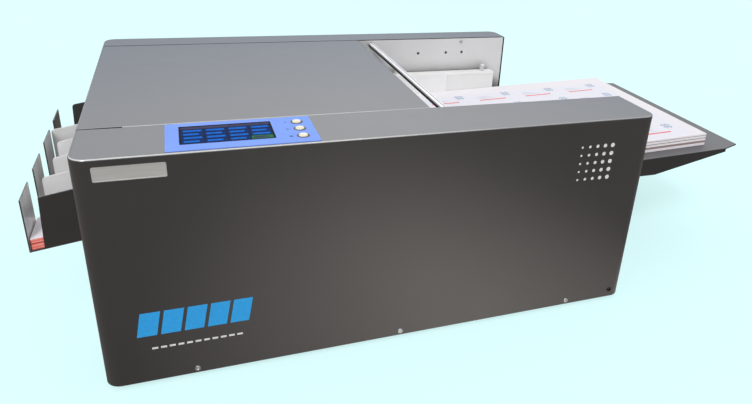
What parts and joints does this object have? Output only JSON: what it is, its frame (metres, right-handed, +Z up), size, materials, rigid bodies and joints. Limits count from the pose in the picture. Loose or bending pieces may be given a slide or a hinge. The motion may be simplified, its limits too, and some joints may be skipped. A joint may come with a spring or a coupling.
{
  "type": "business card cutter",
  "caption": "Electric desktop card slitter: sloping infeed table, rotary slitting knives, cross-cut blade, control panel and card tray.",
  "frame": {"origin": "centre of the overall footprint, on the surface that the feet stand on", "axes": "+X towards the feed table, +Y from the control panel side to the back, +Z up"},
  "size_m": [1.027, 0.505, 0.2894],
  "materials": {
    "casing_paint": "fine textured charcoal powder coat",
    "plate_paint": "light grey satin paint",
    "black_paint": "black satin powder coat",
    "base_paint": "dark grey paint",
    "white_plastic": "white moulded plastic",
    "grey_plastic": "light grey sheet plastic",
    "black_plastic": "black moulded plastic",
    "steel": "ground steel",
    "bright_steel": "bright plated steel",
    "alloy": "machined alloy",
    "roller": "rubber sleeves on a ground steel shaft",
    "rubber": "black rubber",
    "overlay_film": "blue printed film",
    "display_glass": "dark display glass",
    "cream_plastic": "cream keycap",
    "circuit_board": "green circuit board",
    "motor_paint": "black motor enamel",
    "paper": "printed white paper and card"
  },
  "bodies": {
    "machine": {"front_cover": "casing_paint", "rear_cover": "casing_paint", "front_side_plate": "plate_paint", "rear_side_plate": "plate_paint", "base_plate": "base_paint", "rubber_feet": "rubber", "outlet_panel": "plate_paint", "cross_bar": "steel", "tie_rods": "steel", "cover_screws": "bright_steel", "name_plate": "alloy", "lid_pivot_pins": "steel", "panel_overlay": "overlay_film", "display": "display_glass", "panel_board": "circuit_board", "feed_table": "black_paint", "sheet_stack": "paper", "front_guide": "white_plastic", "guide_pins": "steel", "shaft_bearings": "steel", "paper_decks": "plate_paint", "retard_pad": "rubber", "bed_knife": "bright_steel", "knife_frame": "alloy", "blade_motor": "motor_paint", "drive_belt": "rubber", "feed_belt": "rubber", "drive_motor": "motor_paint", "card_tray": "black_paint", "card_stack": "paper", "power_supply": "alloy", "power_inlet": "black_plastic"},
    "lid": {"top_lid": "casing_paint"},
    "front_button": {"front_button": "cream_plastic"},
    "middle_button": {"middle_button": "cream_plastic"},
    "rear_button": {"rear_button": "cream_plastic"},
    "power_switch": {"power_switch": "black_plastic"},
    "rear_guide": {"rear_guide": "white_plastic"},
    "inner_guide_knob": {"inner_guide_knob": "bright_steel"},
    "outer_guide_knob": {"outer_guide_knob": "bright_steel"},
    "waste_bin": {"waste_bin": "grey_plastic"},
    "blade": {"blade_beam": "alloy", "cutting_blade": "bright_steel"},
    "pinion_shaft": {"pinion_shaft": "steel"},
    "motor_pulley": {"motor_pulley": "steel"},
    "feed_roller": {"feed_roller": "roller"},
    "intake_lower_roller": {"intake_lower_roller": "roller"},
    "intake_upper_roller": {"intake_upper_roller": "roller"},
    "slitter_lower": {"slitter_lower_shaft": "steel", "slitter_lower_knives": "bright_steel"},
    "slitter_upper": {"slitter_upper_shaft": "steel", "slitter_upper_knives": "bright_steel"},
    "transport_lower_roller": {"transport_lower_roller": "roller"},
    "transport_upper_roller": {"transport_upper_roller": "roller"},
    "exit_lower_roller": {"exit_lower_roller": "roller"},
    "exit_upper_roller": {"exit_upper_roller": "roller"},
    "lane_divider_1": {"lane_divider_1": "grey_plastic"},
    "lane_divider_2": {"lane_divider_2": "grey_plastic"},
    "lane_divider_3": {"lane_divider_3": "grey_plastic"},
    "lane_divider_4": {"lane_divider_4": "grey_plastic"}
  },
  "joints": [
    {"name": "lid_hinge", "type": "hinge", "parent": "machine", "child": "lid", "pos_m": [-0.42951, 0.01895, 0.275], "axis": [0, -1, 0], "range_deg": [0, 100]},
    {"name": "front_button_press", "type": "slide", "parent": "machine", "child": "front_button", "axis": [0, 0, -1], "range_m": [0, 0.001], "stiffness_N_per_m": 500},
    {"name": "middle_button_press", "type": "slide", "parent": "machine", "child": "middle_button", "axis": [0, 0, -1], "range_m": [0, 0.001], "stiffness_N_per_m": 500},
    {"name": "rear_button_press", "type": "slide", "parent": "machine", "child": "rear_button", "axis": [0, 0, -1], "range_m": [0, 0.001], "stiffness_N_per_m": 500},
    {"name": "power_switch_rock", "type": "hinge", "parent": "machine", "child": "power_switch", "pos_m": [0.10849, 0.247, 0.06], "axis": [1, 0, 0], "range_deg": [0, 12]},
    {"name": "rear_guide_slide", "type": "slide", "parent": "machine", "child": "rear_guide", "axis": [0, 1, 0], "range_m": [0, 0.0035]},
    {"name": "inner_guide_knob_turn", "type": "hinge", "parent": "rear_guide", "child": "inner_guide_knob", "pos_m": [0.03249, 0.18905, 0.226], "axis": [0, 0, 1], "range_deg": [0, 360]},
    {"name": "outer_guide_knob_turn", "type": "hinge", "parent": "rear_guide", "child": "outer_guide_knob", "pos_m": [0.20499, 0.18905, 0.226], "axis": [0, 0, 1], "range_deg": [0, 360]},
    {"name": "lane_divider_1_slide", "type": "slide", "parent": "machine", "child": "lane_divider_1", "axis": [0, 1, 0], "range_m": [0, 0.006]},
    {"name": "lane_divider_2_slide", "type": "slide", "parent": "machine", "child": "lane_divider_2", "axis": [0, 1, 0], "range_m": [-0.006, 0.006]},
    {"name": "lane_divider_3_slide", "type": "slide", "parent": "machine", "child": "lane_divider_3", "axis": [0, 1, 0], "range_m": [-0.006, 0.006]},
    {"name": "lane_divider_4_slide", "type": "slide", "parent": "machine", "child": "lane_divider_4", "axis": [0, 1, 0], "range_m": [-0.006, 0.006]},
    {"name": "waste_bin_slide", "type": "slide", "parent": "machine", "child": "waste_bin", "axis": [-1, 0, 0], "range_m": [0, 0.26]},
    {"name": "blade_slide", "type": "slide", "parent": "machine", "child": "blade", "axis": [0, 0, -1], "range_m": [0, 0.01]},
    {"name": "pinion_spin", "type": "hinge", "parent": "machine", "child": "pinion_shaft", "pos_m": [-0.32816, 0.01895, 0.225], "axis": [0, 1, 0], "range_deg": [0, 48]},
    {"name": "slitter_lower_spin", "type": "hinge", "parent": "machine", "child": "slitter_lower", "pos_m": [-0.12151, 0.01895, 0.164], "axis": [0, 1, 0], "continuous": true},
    {"name": "slitter_upper_spin", "type": "hinge", "parent": "machine", "child": "slitter_upper", "pos_m": [-0.12151, 0.01895, 0.212], "axis": [0, 1, 0], "continuous": true},
    {"name": "intake_lower_spin", "type": "hinge", "parent": "machine", "child": "intake_lower_roller", "pos_m": [-0.03651, 0.01895, 0.1728], "axis": [0, 1, 0], "continuous": true},
    {"name": "intake_upper_spin", "type": "hinge", "parent": "machine", "child": "intake_upper_roller", "pos_m": [-0.03651, 0.01895, 0.2032], "axis": [0, 1, 0], "continuous": true},
    {"name": "transport_lower_spin", "type": "hinge", "parent": "machine", "child": "transport_lower_roller", "pos_m": [-0.23651, 0.01895, 0.1728], "axis": [0, 1, 0], "continuous": true},
    {"name": "transport_upper_spin", "type": "hinge", "parent": "machine", "child": "transport_upper_roller", "pos_m": [-0.23651, 0.01895, 0.2032], "axis": [0, 1, 0], "continuous": true},
    {"name": "exit_lower_spin", "type": "hinge", "parent": "machine", "child": "exit_lower_roller", "pos_m": [-0.37151, 0.01895, 0.1728], "axis": [0, 1, 0], "continuous": true},
    {"name": "exit_upper_spin", "type": "hinge", "parent": "machine", "child": "exit_upper_roller", "pos_m": [-0.37151, 0.01895, 0.2032], "axis": [0, 1, 0], "continuous": true},
    {"name": "feed_roller_spin", "type": "hinge", "parent": "machine", "child": "feed_roller", "pos_m": [0.01449, 0.01895, 0.20707], "axis": [0, 1, 0], "continuous": true},
    {"name": "motor_pulley_spin", "type": "hinge", "parent": "machine", "child": "motor_pulley", "pos_m": [-0.25151, 0.01895, 0.095], "axis": [0, 1, 0], "continuous": true}
  ],
  "couplings": [
    {"joint": "pinion_spin", "follows": "blade_slide", "rad_per_m": 83.333},
    {"joint": "slitter_upper_spin", "follows": "slitter_lower_spin", "ratio": -1},
    {"joint": "intake_lower_spin", "follows": "slitter_lower_spin", "ratio": 1.6286},
    {"joint": "intake_upper_spin", "follows": "slitter_lower_spin", "ratio": -1.6286},
    {"joint": "transport_lower_spin", "follows": "slitter_lower_spin", "ratio": 1.6286},
    {"joint": "transport_upper_spin", "follows": "slitter_lower_spin", "ratio": -1.6286},
    {"joint": "exit_lower_spin", "follows": "slitter_lower_spin", "ratio": 1.6286},
    {"joint": "exit_upper_spin", "follows": "slitter_lower_spin", "ratio": -1.6286},
    {"joint": "feed_roller_spin", "follows": "slitter_lower_spin", "ratio": -1.6286},
    {"joint": "motor_pulley_spin", "follows": "slitter_lower_spin", "ratio": 2.28}
  ]
}
